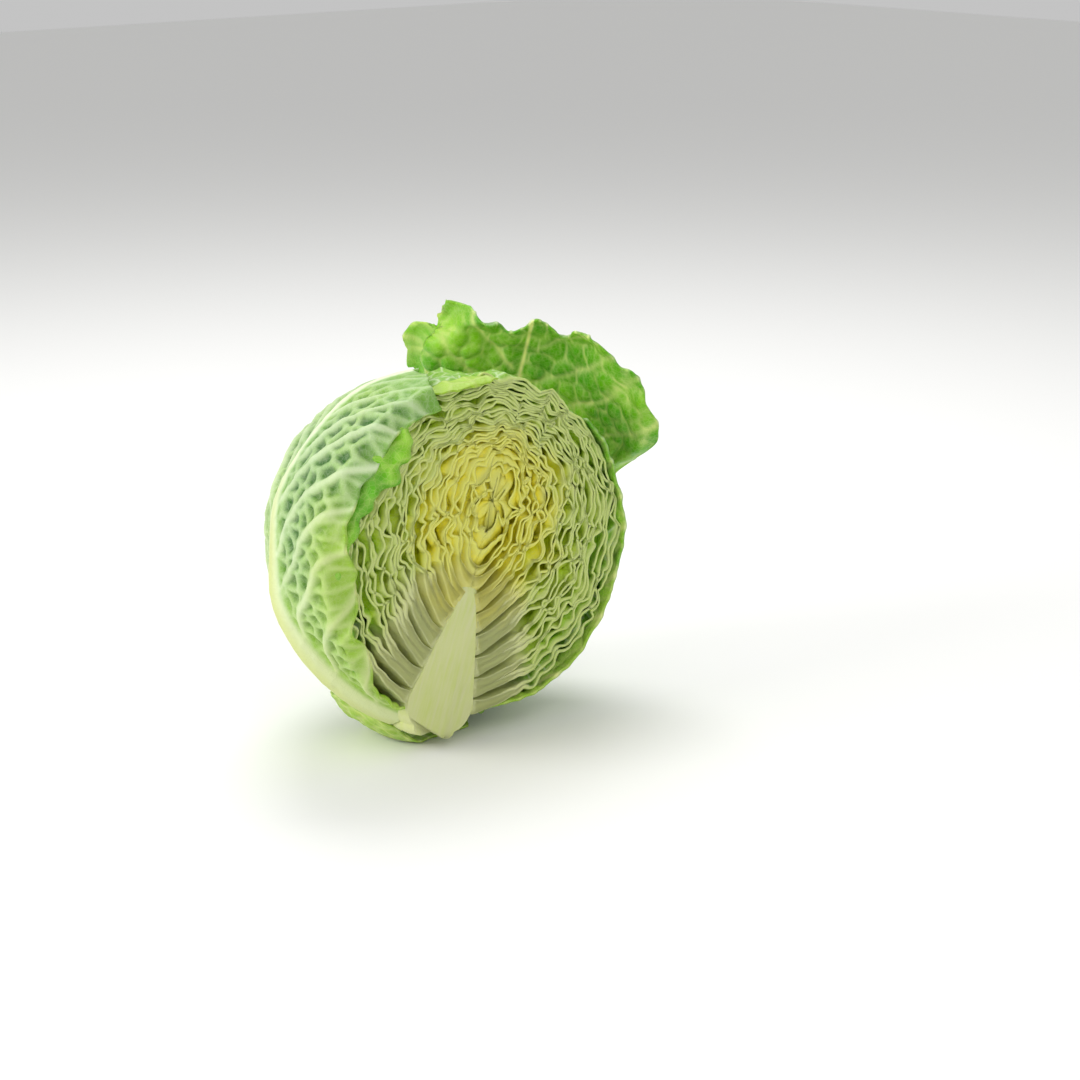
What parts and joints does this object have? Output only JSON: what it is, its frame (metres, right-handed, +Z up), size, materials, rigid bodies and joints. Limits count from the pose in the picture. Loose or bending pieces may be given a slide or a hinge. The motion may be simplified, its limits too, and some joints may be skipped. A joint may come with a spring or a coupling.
{
  "type": "half savoy cabbage head",
  "caption": "Savoy cabbage head cut lengthwise beside its core: crinkled leaves packed round a white core, with loose outer leaves.",
  "frame": {"origin": "middle of the flat spot under the bottom leaf that the half head stands on", "axes": "+Z up as it stands, the flat cut face looks along -Y, the core leans 20 degrees towards +X"},
  "size_m": [0.2295, 0.1399, 0.2008],
  "materials": {
    "core_tissue": "moist cut plant tissue, cream white",
    "heart_leaf": "thin crinkled leaf, pale yellow",
    "inner_leaf": "thin crinkled leaf, yellow green with pale cut edges",
    "head_leaf": "crinkled leaf, light green with pale ribs",
    "wrapper_leaf": "blistered leaf underside, grey green with raised pale veins, waxy",
    "open_leaf": "blistered leaf upper side, bright green with yellow veins, glossy"
  },
  "bodies": {
    "root": {"core": "core_tissue", "growing_tip": "heart_leaf", "head_leaf_01": "head_leaf", "head_leaf_02_right": "head_leaf", "head_leaf_02_left": "head_leaf", "head_leaf_03": "head_leaf", "head_leaf_04_right": "head_leaf", "head_leaf_04_left": "head_leaf", "head_leaf_05": "inner_leaf", "head_leaf_06_right": "inner_leaf", "head_leaf_06_left": "inner_leaf", "head_leaf_07": "inner_leaf", "head_leaf_08_right": "inner_leaf", "head_leaf_08_left": "inner_leaf", "head_leaf_09": "inner_leaf", "head_leaf_10_right": "heart_leaf", "head_leaf_10_left": "heart_leaf", "head_leaf_11": "heart_leaf", "head_leaf_12_right": "heart_leaf", "head_leaf_12_left": "heart_leaf", "head_leaf_13": "heart_leaf", "wrapper_leaf_right": "wrapper_leaf", "wrapper_leaf_left": "wrapper_leaf", "back_leaf": "open_leaf", "bottom_leaf": "open_leaf"}
  },
  "joints": []
}
